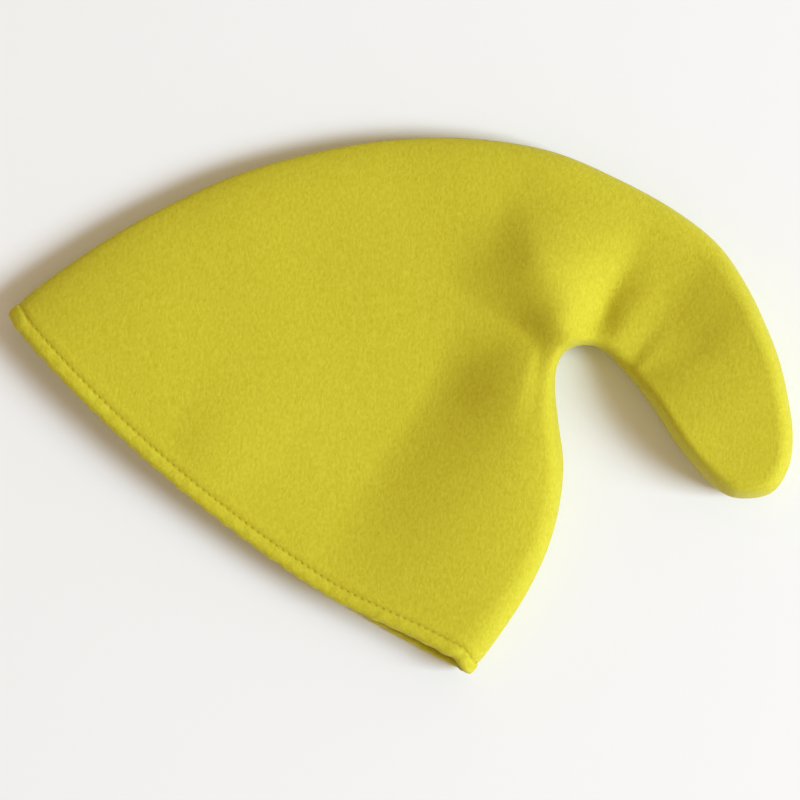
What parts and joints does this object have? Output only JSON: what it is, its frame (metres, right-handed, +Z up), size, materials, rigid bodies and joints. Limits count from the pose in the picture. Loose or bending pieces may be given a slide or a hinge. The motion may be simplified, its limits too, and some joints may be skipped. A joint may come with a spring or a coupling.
{
  "type": "elf hat",
  "caption": "Soft felt costume hat with a drooping rounded peak, lying on its side with the opening flattened.",
  "frame": {"origin": "on the surface that the hat lies on, under the middle of its box", "axes": "+X along the opening from its back corner to its front corner, +Y from the opening to the crown, +Z up"},
  "size_m": [0.3528, 0.2608, 0.0312],
  "materials": {
    "felt": "matt fuzzy felt"
  },
  "bodies": {
    "root": {"upper_panel": "felt", "lower_panel": "felt"}
  },
  "joints": []
}
